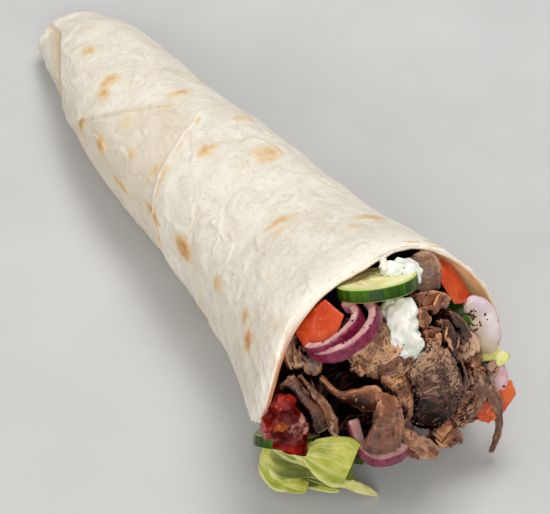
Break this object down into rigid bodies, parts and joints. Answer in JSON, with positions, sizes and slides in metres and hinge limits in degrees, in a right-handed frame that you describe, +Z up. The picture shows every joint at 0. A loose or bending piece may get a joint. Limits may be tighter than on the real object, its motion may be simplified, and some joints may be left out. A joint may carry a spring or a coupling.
{
  "type": "lavash kebab wrap",
  "caption": "Flatbread rolled into a closed cone round shaved meat, cucumber, tomato, red onion, lettuce, yogurt and tomato sauce that spill from its open mouth.",
  "frame": {"origin": "on the flat underside of the roll, below its middle", "axes": "+Y along the roll towards its closed end, the open mouth faces -Y; +Z up from the surface it lies on; +X to the right as seen from the mouth's side looking at the closed end"},
  "size_m": [0.0932, 0.2704, 0.0874],
  "materials": {
    "lavash": "soft matt bread",
    "meat": "moist browned meat",
    "dark_meat": "dark crisp meat",
    "cucumber": "moist",
    "tomato": "moist",
    "red_onion": "moist",
    "pale_onion": "moist",
    "yogurt": "creamy",
    "salsa": "wet",
    "lettuce": "crisp"
  },
  "bodies": {
    "root": {"cucumber_crumb": "cucumber", "cucumber_left": "cucumber", "cucumber_low": "cucumber", "cucumber_right": "cucumber", "cucumber_top": "cucumber", "lavash": "lavash", "lettuce_curl": "lettuce", "lettuce_right": "lettuce", "lettuce_under": "lettuce", "meat_chunk": "dark_meat", "meat_cluster": "meat", "meat_core": "dark_meat", "meat_curl_right": "meat", "meat_drape": "meat", "meat_edge_right": "dark_meat", "meat_finger_right": "dark_meat", "meat_flap": "meat", "meat_fold": "meat", "meat_ridge": "dark_meat", "meat_shred_left": "meat", "meat_shred_middle": "meat", "meat_shred_top": "meat", "meat_slab_left": "meat", "meat_slice_grey": "meat", "meat_slice_right": "meat", "meat_sliver_left": "meat", "meat_strip_hanging": "meat", "meat_striped": "meat", "meat_tip": "meat", "onion_inner": "red_onion", "onion_low": "red_onion", "onion_outer": "red_onion", "onion_right_low": "pale_onion", "onion_right_top": "pale_onion", "salsa": "salsa", "tomato_left": "tomato", "tomato_right_edge": "tomato", "tomato_right_low": "tomato", "tomato_right_top": "tomato", "yogurt_drip": "yogurt", "yogurt_top": "yogurt"}
  },
  "joints": []
}
